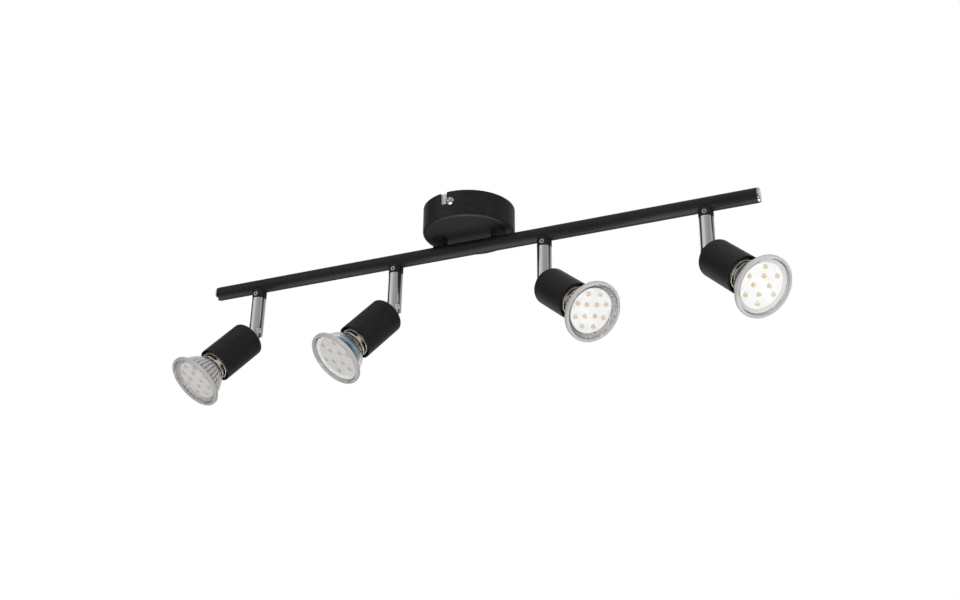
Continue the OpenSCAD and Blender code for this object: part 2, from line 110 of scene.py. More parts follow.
def grid_surface(points: np.ndarray, wrap_rows: bool, cap_ends: bool = False) -> Surface:
    """Closed grid of quads: columns always wrap round, rows wrap or end.

    Vertex (i, j) joins (i + 1, j), (i + 1, j + 1) and (i, j + 1). A cap is one polygon on the
    first row and one on the last.

    Args:
        points: array of shape (rows, columns, 3).
        wrap_rows: whether the last row joins the first.
        cap_ends: whether the first and last rows are closed with a polygon.

    Returns:
        The surface, with faces that point outwards for a profile that runs up the outside.
    """
    rows, cols = points.shape[:2]
    i = np.arange(rows if wrap_rows else rows - 1)[:, None]
    j = np.arange(cols)[None, :]
    nxt_i, nxt_j = (i + 1) % rows, (j + 1) % cols
    quads = np.stack([i * cols + j, i * cols + nxt_j, nxt_i * cols + nxt_j, nxt_i * cols + j], -1)
    faces = quads.reshape(-1, 4).tolist()
    if cap_ends:
        faces.append(list(range(cols))[::-1])
        faces.append([(rows - 1) * cols + k for k in range(cols)])
    return Surface(points.reshape(-1, 3), faces)


def revolved(profile: np.ndarray, segments: int, ripple: np.ndarray | None = None,
             lobes: int = 0, closed_profile: bool = True) -> Surface:
    """Surface of revolution about Z: x = r cos a, y = r sin a, with an optional ripple.

    Where ripple is given, r grows by ripple times cos(lobes a), which draws ribs.

    Args:
        profile: array of (r, z) rows, walked up the outside and down the inside.
        segments: steps round the axis.
        ripple: height of the ribs at each profile row, in millimetres.
        lobes: number of ribs round the axis.
        closed_profile: whether the last profile point joins the first.

    Returns:
        The closed surface.
    """
    angle = np.linspace(0.0, 2.0 * np.pi, segments, endpoint=False)[None, :]
    radius = np.repeat(profile[:, :1], segments, axis=1)
    if ripple is not None:
        radius = radius + ripple[:, None] * np.cos(lobes * angle)
    grid = np.stack([radius * np.cos(angle), radius * np.sin(angle),
                     np.repeat(profile[:, 1:2], segments, axis=1)], -1)
    return grid_surface(grid, closed_profile, cap_ends=not closed_profile)


def rounded(corners: np.ndarray, radii: list, steps: int = 5, closed: bool = False) -> np.ndarray:
    """Polyline whose corners are swapped for arcs of the given radii.

    At each corner the arc touches both sides at radius / tan(half the corner's angle) and is
    drawn as an even fan of directions about its centre.

    Args:
        corners: array of (x, y) rows.
        radii: arc radius at each corner, zero for a sharp one.
        steps: points on each arc.
        closed: whether the last corner joins the first.

    Returns:
        Array of (x, y) rows.
    """
    count = len(corners)
    out: list = []
    for k in range(count):
        here = corners[k]
        if radii[k] <= 0 or (not closed and k in (0, count - 1)):
            out.append(here)
            continue
        back, ahead = corners[k - 1] - here, corners[(k + 1) % count] - here
        back, ahead = back / np.linalg.norm(back), ahead / np.linalg.norm(ahead)
        half = 0.5 * math.acos(float(np.clip(back @ ahead, -1, 1)))
        bisector = (back + ahead) / np.linalg.norm(back + ahead)
        centre = here + bisector * radii[k] / math.sin(half)
        first = here + back * radii[k] / math.tan(half) - centre
        last = here + ahead * radii[k] / math.tan(half) - centre
        share = np.linspace(0.0, 1.0, steps)[:, None]
        total = math.pi - 2 * half
        arc = (np.sin((1 - share) * total) * first + np.sin(share * total) * last) / math.sin(total)
        out.extend(centre + arc)
    return np.array(out)


def loft(outline: np.ndarray, insets: np.ndarray, heights: np.ndarray) -> Surface:
    """Closed block: one outline repeated at several heights, each pulled towards its centre.

    A loop's points are the outline's, less inset times the outline's outward direction.

    Args:
        outline: array of (x, y) rows, counter-clockwise about the origin.
        insets: how far each loop is pulled in, in millimetres.
        heights: each loop's height, in millimetres, rising.

    Returns:
        The capped surface.
    """
    ahead = np.roll(outline, -1, axis=0) - np.roll(outline, 1, axis=0)
    outward = np.stack([ahead[:, 1], -ahead[:, 0]], -1)
    outward /= np.linalg.norm(outward, axis=1, keepdims=True)
    loops = outline[None, :, :] - insets[:, None, None] * outward[None, :, :]
    level = np.repeat(heights[:, None], len(outline), axis=1)
    return grid_surface(np.concatenate([loops, level[:, :, None]], -1), False, cap_ends=True)


def rounded_rectangle(width: float, depth: float, radius: float, steps: int = 4) -> np.ndarray:
    """Counter-clockwise outline of a rectangle centred on the origin, with round corners."""
    w, d = width / 2, depth / 2
    return rounded(np.array([[w, -d], [w, d], [-w, d], [-w, -d]]), [radius] * 4, steps, closed=True)


def softened_block(width: float, depth: float, height: float, edge: float, corner: float) -> Surface:
    """Block standing on z = 0 with round upright corners and rounded upper and lower edges.

    Args:
        width: size along X.
        depth: size along Y.
        height: size along Z.
        edge: radius of the upper and lower edges.
        corner: radius of the upright corners.

    Returns:
        The closed block.
    """
    turn = np.radians(np.array([0, 30, 60, 90]))
    inset = edge * (1 - np.sin(turn))
    rise = edge * (1 - np.cos(turn))
    return loft(rounded_rectangle(width, depth, corner), np.concatenate([inset, inset[::-1]]),
                np.concatenate([rise, height - rise[::-1]]))


def merged(parts: list) -> Surface:
    """Several surfaces as one, each keeping its own faces."""
    offset, points, faces = 0, [], []
    for part in parts:
        points.append(part.points)
        faces.extend([[v + offset for v in face] for face in part.faces])
        offset += len(part.points)
    return Surface(np.concatenate(points), faces)


def add_piece(name: str, surface: Surface, body: str, material: bpy.types.Material,
              smooth_angle: float = 35.0, replaces: tuple = ()) -> bpy.types.Object:
    """Puts a surface into the scene as one piece that rides on a body of the frame.

    Args:
        name: the piece's name.
        surface: its shape in the object's frame, in millimetres.
        body: the body it moves with.
        material: the finish.
        smooth_angle: edges flatter than this, in degrees, are shaded smooth.
        replaces: CAD nodes that the piece stands for.

    Returns:
        The new object, at the origin and unturned.
    """
    mesh = bpy.data.meshes.new(name)
    mesh.from_pydata((surface.points * MM).tolist(), [], surface.faces)
    mesh.validate()
    mesh.update()
    mesh.polygons.foreach_set("use_smooth", np.ones(len(mesh.polygons), bool))
    piece = bpy.data.objects.new(name, mesh)
    bpy.context.scene.collection.objects.link(piece)
    mesh.set_sharp_from_angle(angle=math.radians(smooth_angle))
    mesh.materials.append(material)
    if surface.etched is not None:
        layer = mesh.attributes.new(ETCH, "FLOAT", "POINT")
        layer.data.foreach_set("value", surface.etched.astype(np.float32))
    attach(piece, body)
    if replaces:
        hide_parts(*replaces)
    LOG.info("made %s, %d faces, on %s", name, len(mesh.polygons), body)
    return piece


def dress(node: str, material: bpy.types.Material) -> None:
    """Gives a carried-over CAD node its finish.

    Args:
        node: the node's name.
        material: the finish.
    """
    piece = frame["nodes"][node]
    if not piece.material_slots:
        piece.data.materials.append(material)
    for slot in piece.material_slots:
        slot.material = material
    LOG.info("dressed %s in %s", node, material.name)


# ---------------------------------------------------------------- finishes


def linear(hex_colour: str) -> tuple:
    """An sRGB hex colour as linear red, green, blue and an alpha of 1.

    Args:
        hex_colour: six hex digits after a hash.

    Returns:
        Four numbers from 0 to 1.
    """
    parts = [int(hex_colour[k:k + 2], 16) / 255 for k in (1, 3, 5)]
    return tuple(c / 12.92 if c <= 0.04045 else ((c + 0.055) / 1.055) ** 2.4 for c in parts) + (1.0,)


def add_node(tree: bpy.types.NodeTree, kind: str, settings: dict | None = None,
             links: dict | None = None) -> bpy.types.Node:
    """Adds one node to a tree.

    Args:
        tree: the node tree.
        kind: the node's type name.
        settings: values by property name, or by input socket name or number.
        links: output sockets by the name or number of the input that each feeds.

    Returns:
        The node.
    """
    node = tree.nodes.new(kind)
    for key, value in (settings or {}).items():
        if isinstance(key, str) and hasattr(node, key):
            setattr(node, key, value)
        else:
            node.inputs[key].default_value = value
    for key, socket in (links or {}).items():
        tree.links.new(socket, node.inputs[key])
    return node


def per_metre(size_mm: float) -> float:
    """Texture scale that repeats a pattern once in a size given in millimetres."""
    return 1.0 / (size_mm * MM)


@dataclass(frozen=True)
class Finish:
    """A finish with a name; each kind below fills a Principled shader for it."""

    name: str

    def start(self) -> tuple:
        """A new material with its tree, shader and object coordinates.

        Returns:
            The material, its node tree, its Principled node and the object coordinate socket.
        """
        material = bpy.data.materials.new(self.name)
        material.use_nodes = True
        tree = material.node_tree
        shader = tree.nodes["Principled BSDF"]
        place = add_node(tree, "ShaderNodeTexCoord")
        return material, tree, shader, place.outputs["Object"]


def ramp(tree: bpy.types.NodeTree, socket: bpy.types.NodeSocket, low: str, high: str,
         low_at: float = 0.0, high_at: float = 1.0) -> bpy.types.NodeSocket:
    """Colour that runs from low to high as a value goes from low_at to high_at.

    Args:
        tree: the node tree.
        socket: the value.
        low: colour at the low end, in hex.
        high: colour at the high end, in hex.
        low_at: where the low colour ends.
        high_at: where the high colour starts.

    Returns:
        The colour socket.
    """
    node = add_node(tree, "ShaderNodeValToRGB", links={"Fac": socket})
    node.color_ramp.elements[0].position, node.color_ramp.elements[1].position = low_at, high_at
    node.color_ramp.elements[0].color, node.color_ramp.elements[1].color = linear(low), linear(high)
    return node.outputs["Color"]


def spread(tree: bpy.types.NodeTree, socket: bpy.types.NodeSocket, low: float, high: float,
           from_low: float = 0.3, from_high: float = 0.7) -> bpy.types.NodeSocket:
    """A value carried from one range to another, such as a noise turned into a roughness."""
    node = add_node(tree, "ShaderNodeMapRange",
                    {"From Min": from_low, "From Max": from_high, "To Min": low, "To Max": high},
                    {"Value": socket})
    return node.outputs["Result"]


def levels(tree: bpy.types.NodeTree, share: bpy.types.NodeSocket, steps: list) -> bpy.types.NodeSocket:
    """Grey that follows a list of (place, level) steps as a share runs from 0 to 1.

    Args:
        tree: the node tree.
        share: the value.
        steps: places from 0 to 1, rising, each with its grey level.

    Returns:
        The colour socket.
    """
    node = add_node(tree, "ShaderNodeValToRGB", links={"Fac": share})
    stops = node.color_ramp.elements
    for place, _ in steps[1:-1]:
        stops.new(place)
    for stop, (place, level) in zip(stops, steps):
        stop.position, stop.color = place, (level, level, level, 1.0)
    return node.outputs["Color"]


def noise(tree: bpy.types.NodeTree, at: bpy.types.NodeSocket, size_mm: float, detail: float,
          roughness: float = 0.5) -> bpy.types.NodeSocket:
    """Cloudy noise, from 0 to 1, whose blotches are about size_mm across."""
    settings = {"Scale": per_metre(size_mm), "Detail": detail, "Roughness": roughness}
    return add_node(tree, "ShaderNodeTexNoise", settings, {"Vector": at}).outputs["Fac"]


def cells(tree: bpy.types.NodeTree, at: bpy.types.NodeSocket, size_mm: float) -> bpy.types.NodeSocket:
    """Distance to the middle of the nearest of many random cells, each about size_mm across."""
    settings = {"Scale": per_metre(size_mm)}
    return add_node(tree, "ShaderNodeTexVoronoi", settings, {"Vector": at}).outputs["Distance"]


def relief(tree: bpy.types.NodeTree, shader: bpy.types.Node, height: bpy.types.NodeSocket,
           strength: float, depth_mm: float) -> None:
    """Tips a shader's normal as if the height value stood depth_mm proud of the surface."""
    bump = add_node(tree, "ShaderNodeBump", {"Strength": strength, "Distance": depth_mm * MM},
                    {"Height": height})
    tree.links.new(bump.outputs["Normal"], shader.inputs["Normal"])


@dataclass(frozen=True)
class PowderCoat(Finish):
    """Matt polyester powder coat, sprayed dry and baked on steel.

    It gives a near-black surface with a soft, broad highlight and the fine orange peel of the
    melted grains.
    """

    low: str = "#0b0b0b"
    high: str = "#121212"
    gloss: float = 0.28
    rough: tuple = (0.44, 0.56)
    grain_mm: float = 0.55
    wave_mm: float = 3.5
    wave_share: float = 0.35
    peel_mm: float = 0.06

    def build(self) -> bpy.types.Material:
        """The coat's material."""
        material, tree, shader, at = self.start()
        grain = noise(tree, at, self.grain_mm, 4.0, 0.6)
        wave = noise(tree, at, self.wave_mm, 2.0)
        tree.links.new(ramp(tree, wave, self.low, self.high, 0.3, 0.7), shader.inputs["Base Color"])
        tree.links.new(spread(tree, grain, *self.rough), shader.inputs["Roughness"])
        shader.inputs["Specular IOR Level"].default_value = self.gloss
        peel = add_node(tree, "ShaderNodeMath", {"operation": "MULTIPLY_ADD", 1: self.wave_share},
                        {0: wave, 2: grain})
        relief(tree, shader, peel.outputs[0], 0.35, self.peel_mm)
        return material


@dataclass(frozen=True)
class BrightNickel(Finish):
    """Nickel plate over turned steel: a clear but slightly soft mirror.

    Its fine draw lines run along the object's Z, which the arms nearly follow.
    """

    colour: str = "#d3d3d2"
    roughness: float = 0.09
    line_mm: float = 0.35
    stretch: float = 40.0
    patch_mm: float = 9.0
    line_depth_mm: float = 0.02

    def build(self) -> bpy.types.Material:
        """The plate's material."""
        material, tree, shader, at = self.start()
        along = add_node(tree, "ShaderNodeMapping", {"Scale": (1.0, 1.0, 1.0 / self.stretch)}, {"Vector": at})
        lines = noise(tree, along.outputs["Vector"], self.line_mm, 3.0)
        patches = noise(tree, at, self.patch_mm, 3.0)
        shader.inputs["Metallic"].default_value = 1.0
        shader.inputs["Base Color"].default_value = linear(self.colour)
        rough = spread(tree, lines, self.roughness * 0.75, self.roughness * 1.35)
        patch = spread(tree, patches, -0.02, 0.03)
        total = add_node(tree, "ShaderNodeMath", {"operation": "ADD"}, {0: rough, 1: patch})
        tree.links.new(total.outputs[0], shader.inputs["Roughness"])
        relief(tree, shader, lines, 0.12, self.line_depth_mm)
        return material


@dataclass(frozen=True)
class ZincPlate(Finish):
    """Clear-passivated zinc plate on pressed steel: pale grey, dull, with a faint mottle."""

    mottle_mm: float = 4.0
    grain_mm: float = 1.2
    metallic: float = 0.85

    def build(self) -> bpy.types.Material:
        """The plate's material."""
        material, tree, shader, at = self.start()
        mottle, grains = noise(tree, at, self.mottle_mm, 5.0), cells(tree, at, self.grain_mm)
        tree.links.new(ramp(tree, mottle, "#b3b5b6", "#d4d5d5", 0.3, 0.7), shader.inputs["Base Color"])
        tree.links.new(spread(tree, grains, 0.34, 0.5, 0.0, 0.8), shader.inputs["Roughness"])
        shader.inputs["Metallic"].default_value = self.metallic
        relief(tree, shader, grains, 0.1, 0.03)
        return material


@dataclass(frozen=True)
class SpringSteel(Finish):
    """Nickel-washed spring steel strip, rolled and stamped: warm grey with rolling lines along Y."""

    line_mm: float = 0.5
    squeeze: float = 0.06
    tint_mm: float = 6.0
    metallic: float = 0.8

    def build(self) -> bpy.types.Material:
        """The strip's material."""
        material, tree, shader, at = self.start()
        along = add_node(tree, "ShaderNodeMapping", {"Scale": (1.0, self.squeeze, 1.0)}, {"Vector": at})
        lines = noise(tree, along.outputs["Vector"], self.line_mm, 4.0)
        tint = noise(tree, at, self.tint_mm, 2.0)
        tree.links.new(ramp(tree, tint, "#cdc4b8", "#e2dcd4", 0.35, 0.65), shader.inputs["Base Color"])
        shader.inputs["Metallic"].default_value = self.metallic
        tree.links.new(spread(tree, lines, 0.2, 0.36), shader.inputs["Roughness"])
        relief(tree, shader, lines, 0.15, 0.03)
        return material


@dataclass(frozen=True)
class Steatite(Finish):
    """Unglazed steatite ceramic, dry-pressed and fired: off-white, chalky, finely pitted."""

    cloud_mm: float = 3.0
    pit_mm: float = 0.7
    roughness: float = 0.72

    def build(self) -> bpy.types.Material:
        """The ceramic's material."""
        material, tree, shader, at = self.start()
        cloud, pits = noise(tree, at, self.cloud_mm, 6.0), cells(tree, at, self.pit_mm)
        tree.links.new(ramp(tree, cloud, "#ddd5c2", "#f1ecdf", 0.3, 0.7), shader.inputs["Base Color"])
        shader.inputs["Roughness"].default_value = self.roughness
        relief(tree, shader, pits, 0.3, 0.05)
        return material


@dataclass(frozen=True)
class PressedGlass(Finish):
    """Soda-lime glass pressed in a mould: clear and fire-polished, with a faint ripple.

    Where the piece carries an etched attribute, the glass turns matt, greyer and less clear.
    """

    tint: str = "#eef1f1"
    matt: str = "#a8a5a3"
    roughness: float = 0.03
    matt_roughness: float = 0.34
    matt_clearness: float = 0.45
    ripple_mm: float = 5.0
    index: float = 1.5

    def build(self) -> bpy.types.Material:
        """The glass's material."""
        material, tree, shader, at = self.start()
        ripple = noise(tree, at, self.ripple_mm, 2.0)
        etched = add_node(tree, "ShaderNodeAttribute", {"attribute_name": ETCH}).outputs["Fac"]
        tree.links.new(ramp(tree, etched, self.tint, self.matt), shader.inputs["Base Color"])
        shader.inputs["IOR"].default_value = self.index
        tree.links.new(spread(tree, etched, 1.0, self.matt_clearness, 0.0, 1.0),
                       shader.inputs["Transmission Weight"])
        clear = spread(tree, ripple, self.roughness * 0.5, self.roughness * 1.5)
        total = add_node(tree, "ShaderNodeMath", {"operation": "MULTIPLY_ADD", 1: self.matt_roughness},
                         {0: etched, 2: clear})
        tree.links.new(total.outputs[0], shader.inputs["Roughness"])
        relief(tree, shader, ripple, 0.2, 0.1)
        return material


@dataclass(frozen=True)
class SmoothCoat(Finish):
    """Smooth coated or moulded surface: a colour that drifts a little, over a soft gloss."""

    low: str
    high: str
    roughness: float
    drift_mm: float
    metallic: float = 0.0
    grain_mm: float = 0.4

    def build(self) -> bpy.types.Material:
        """The coating's material."""
        material, tree, shader, at = self.start()
        drift, fine = noise(tree, at, self.drift_mm, 4.0), noise(tree, at, self.grain_mm, 2.0)
        tree.links.new(ramp(tree, drift, self.low, self.high, 0.35, 0.65), shader.inputs["Base Color"])
        shader.inputs["Metallic"].default_value = self.metallic
        tree.links.new(spread(tree, fine, self.roughness * 0.85, self.roughness * 1.15),
                       shader.inputs["Roughness"])
        relief(tree, shader, fine, 0.08, 0.03)
        return material


def made(finish: Finish) -> bpy.types.Material:
    """A palette entry, whose material is built when the palette is."""
    return field(default_factory=finish.build)


@dataclass
class Palette:
    """Every finish of the fixture, each made once."""

    coat: bpy.types.Material = made(PowderCoat("powder_coated_steel"))
    nickel: bpy.types.Material = made(BrightNickel("bright_nickel_plate"))
    screw: bpy.types.Material = made(BrightNickel("nickel_screw", "#e2e1de", 0.12, 0.5, 1.0))
    grub: bpy.types.Material = made(BrightNickel("grub_screw_steel", "#adadae", 0.14, 0.5, 1.0))
    zinc: bpy.types.Material = made(ZincPlate("zinc_plated_steel"))
    clip: bpy.types.Material = made(SpringSteel("spring_steel_strip"))
    ceramic: bpy.types.Material = made(Steatite("steatite_ceramic"))
    frosted: bpy.types.Material = made(
        PressedGlass("ribbed_pressed_glass", "#f0f0f0", roughness=0.06, ripple_mm=6.0))
    clear: bpy.types.Material = made(
        PressedGlass("clear_pressed_glass", "#f3f4f4", roughness=0.02, ripple_mm=7.0))
    cover: bpy.types.Material = made(PressedGlass("cover_glass", "#fdfdfd", roughness=0.01, ripple_mm=12.0))
    cup: bpy.types.Material = made(
        SmoothCoat("vapour_coated_aluminium", "#b8b8b7", "#cacac9", 0.17, 4.0, 0.85))
    mask: bpy.types.Material = made(SmoothCoat("white_solder_mask", "#f0f0ef", "#f7f7f6", 0.42, 6.0))
    chip: bpy.types.Material = made(SmoothCoat("chip_moulding", "#dededc", "#efefed", 0.4, 1.0))
    # Grey of the pads under the chips, which paints the shadow beside each chip.
    pad: bpy.types.Material = made(SmoothCoat("grey_painted_shadow", "#aeb0b4", "#c2c4c7", 0.45, 1.0))
    warm: bpy.types.Material = made(SmoothCoat("warm_phosphor_gel", "#eeb386", "#f5c196", 0.3, 1.0))
    pale: bpy.types.Material = made(SmoothCoat("pale_phosphor_gel", "#efc062", "#f7ce7c", 0.3, 1.0))
    driver: bpy.types.Material = made(SmoothCoat("black_nylon_moulding", "#141414", "#202020", 0.4, 4.0))
    # Teal of the ring inside a clear bowl, which paints a reflection.
    band: bpy.types.Material = made(SmoothCoat("painted_teal_reflection", "#3f9fba", "#66bcd0", 0.25, 3.0))
    lacquer: bpy.types.Material = made(
        SmoothCoat("dipped_film_capacitor", "#8a7b4c", "#a08f63", 0.3, 3.0))
    copper: bpy.types.Material = made(
        SmoothCoat("enamelled_copper_coil", "#a3621f", "#cc8a3a", 0.28, 1.5, 0.6))
    nylon: bpy.types.Material = made(SmoothCoat("white_nylon_block", "#dcdcd6", "#ecece6", 0.5, 5.0))


# ---------------------------------------------------------------- places


def joint_named(name: str) -> dict:
    """The record's joint of that name."""
    return next(joint for joint in frame["joints"] if joint["name"] == name)


def joint_axis(name: str) -> np.ndarray:
    """A joint's axis, at unit length."""
    axis = np.array(joint_named(name)["axis"], float)
    return axis / np.linalg.norm(axis)


def joint_place(number: int, along: str) -> Placement:
    """Local frame at a lamp's tilt pin: Z along a joint's axis, Y along the pin.

    Args:
        number: the lamp's number, from 1.
        along: the joint whose axis gives Z, without its number.

    Returns:
        The placement, with X = Y cross Z.
    """
    origin = np.array(joint_named(f"tilt_{number}")["pos_m"], float) / MM
    z_axis = joint_axis(f"{along}_{number}")
    y_axis = joint_axis(f"tilt_{number}")
    y_axis = y_axis - (y_axis @ z_axis) * z_axis
    y_axis /= np.linalg.norm(y_axis)
    return Placement(origin, np.cross(y_axis, z_axis), y_axis, z_axis)


# ---------------------------------------------------------------- sub-assemblies


@dataclass
class CeilingMount:
    """Canopy, bracket, side screws, standoffs and what sits inside the canopy."""

    palette: Palette

    def build(self) -> None:
        """Dresses the mount's nodes, whose shapes are the CAD's own."""
        dress("canopy", self.palette.coat)
        dress("standoffs", self.palette.coat)
        dress("ceiling_bracket", self.palette.zinc)
        dress("nipple_nuts", self.palette.zinc)
        dress("side_screws", self.palette.screw)
        dress("standoff_nipples", self.palette.screw)
        dress("terminal_block", self.palette.nylon)


@dataclass
class BarTube:
    """The bar with its end caps, saddles, grub screws and swivel nipples."""

    palette: Palette

    def build(self) -> None:
        """Dresses the bar's nodes."""
        dress("bar", self.palette.coat)
        for number in range(1, LAMP_COUNT + 1):
            dress(f"saddle_{number}", self.palette.coat)
        for side in ("left", "right"):
            dress(f"end_cap_{side}", self.palette.nickel)
        dress("grub_screws", self.palette.grub)
        dress("swivel_nipples", self.palette.screw)


@dataclass
class Arm:
    """One bright arm with its tilt screw."""

    number: int
    palette: Palette

    def build(self) -> None:
        """Dresses the arm and its tilt screw."""
        dress(f"arm_{self.number}", self.palette.nickel)
        dress(f"tilt_screw_{self.number}", self.palette.screw)


@dataclass
class Head:
    """One lamp sleeve with its lampholder and the sprung collar at its mouth."""

    number: int
    palette: Palette
    leg_radius: float = 13.8
    collar_radius: float = 12.6
    collar_wall: float = 0.5
    leg_from: float = 21.5
    skirt: tuple = (40.0, 52.6)
    front_band: tuple = (55.2, 56.4)
    flat: float = 0.2
    flats: int = 8
    lip: float = 0.3
    post_angles: tuple = (11.0, 9.0)
    leg_angles: tuple = (20.0, 2.0)

    def band(self, low: float, high: float, rear: float) -> Surface:
        """Eight-sided band: r = radius + flat cos 8a, whose front edge rolls out by a small lip.

        Args:
            low: height of its rear edge.
            high: height of its front edge.
            rear: radius of its rear edge, from which it necks in over half its length.

        Returns:
            The closed band in the lamp's frame.
        """
        r, wall, lip = self.collar_radius, self.collar_wall, self.lip
        share = np.linspace(0.0, 1.0, 9)
        blend = share ** 2 * (3 - 2 * share)
        neck = np.stack([rear + (r - rear) * blend, low + 0.5 * (high - low) * share], -1)
        front = np.array([[r, high - 0.55], [r + 0.6 * lip, high - 0.25], [r + lip, high - 0.08],
                          [r + lip - 0.1, high], [r + lip - wall, high], [r + 0.5 * lip - wall, high - 0.25],
                          [r - wall, high - 0.55]])
        section = np.concatenate([neck, front, neck[::-1] - [wall, 0.0]])
        return revolved(section, 192, np.full(len(section), self.flat), self.flats)

    def tab(self, heading: float, low: float, high: float, half: float, flare: float,
            outside: float) -> Surface:
        """Curved strip of the collar whose sides sweep out towards its ends like a cut-out's corners.

        Its half angle is half plus flare times the square of the distance from its middle, which
        runs from 0 there to 1 at each end.

        Args:
            heading: the strip's middle, in degrees about the lamp's axis.
            low: height of its rear end.
            high: height of its front end.
            half: half its angle at its middle, in degrees.
            flare: what its ends add to that, in degrees.
            outside: radius of its outer face.

        Returns:
            The closed strip in the lamp's frame.
        """
        level = np.linspace(-1.0, 1.0, 9)
        across = np.linspace(-1.0, 1.0, 9)
        angle = np.radians(heading + (half + flare * level[:, None] ** 2) * across[None, :])
        angle = np.concatenate([angle, angle[:, ::-1]], axis=1)
        depth = np.repeat([0.0, self.collar_wall], len(across))[None, :]
        radius = outside + self.flat * np.cos(self.flats * angle) - depth
        height = np.repeat((low + (high - low) * (level + 1) / 2)[:, None], angle.shape[1], axis=1)
        points = np.stack([radius * np.cos(angle), radius * np.sin(angle), height], -1)
        return grid_surface(points, False, cap_ends=True)

    def collar(self) -> Surface:
        """Sprung collar: a skirt in the sleeve, a front band, four posts between them and two legs."""
        posts = [self.tab(90.0 * k, self.skirt[1] - 0.7, self.front_band[0] + 0.2, *self.post_angles,
                          self.collar_radius) for k in range(4)]
        legs = [self.tab(side, self.leg_from, self.skirt[0] + 0.5, *self.leg_angles, self.leg_radius)
                for side in (90.0, 270.0)]
        bands = [self.band(*self.skirt, self.leg_radius), self.band(*self.front_band, self.collar_radius)]
        return merged(bands + posts + legs)

    def build(self) -> None:
        """Dresses the sleeve and lampholder and makes the collar."""
        place = joint_place(self.number, "lamp_lock")
        dress(f"sleeve_{self.number}", self.palette.coat)
        dress(f"lampholder_{self.number}", self.palette.ceramic)
        add_piece(f"spring_collar_{self.number}", self.collar().placed(place), f"head_{self.number}",
                  self.palette.clip, replaces=(f"lamp_clip_{self.number}",))


# Small blocks: width, depth, height, edge radius and corner radius, in millimetres.
CHIP = (2.8, 3.5, 0.6, 0.12, 0.3)
GEL = (2.2, 2.7, 0.72, 0.1, 0.6)
# Grey pad under a chip, whose edge showing to one side paints the chip's shadow.
SHADE_PAD = (3.3, 3.3, 0.16, 0.04, 0.3)
CAPACITOR = (2.9, 7.4, 6.4, 1.0, 1.2)

# Turned parts of the driver, and a teal ring that paints a reflection seen in a clear bowl: (r, z) outlines
# in the lamp's frame, the coil's from its own foot.
CAN_SECTION = ((4.3, 40.0), (4.9, 40.0), (5.2, 40.4), (5.2, 56.6), (9.2, 58.6), (12.4, 62.3),
               (13.4, 63.2), (13.4, 66.4), (13.0, 66.9), (4.3, 66.9))
TEAL_REFLECTION_SECTION = ((13.5, 63.4), (14.2, 63.4), (14.6, 63.9), (14.6, 65.6), (14.3, 66.0), (13.5, 66.0))
COIL_SECTION = ((0.4, 0.0), (1.5, 0.0), (1.9, 0.4), (1.9, 4.6), (1.5, 5.0), (0.4, 5.0))
COIL_SPOTS = ((6.2, 4.2), (-6.2, -4.2), (6.2, -4.2), (-6.2, 4.2))
COIL_FOOT = 51.0
CAPACITOR_RADIUS, CAPACITOR_FOOT = 7.2, 49.6


@dataclass(frozen=True)
class BowlKind:
    """What sets one make of bowl apart: its description and how far its two faces are etched."""

    text: str
    etched: float
    inner: float


class Bowl(Enum):
    """The two makes of lamp: which glass, and what stands behind it."""

    RIBBED = BowlKind("ribbed outside and aluminised inside", 0.45, 0.7)
    CLEAR = BowlKind("smooth and clear", 0.04, 0.2)


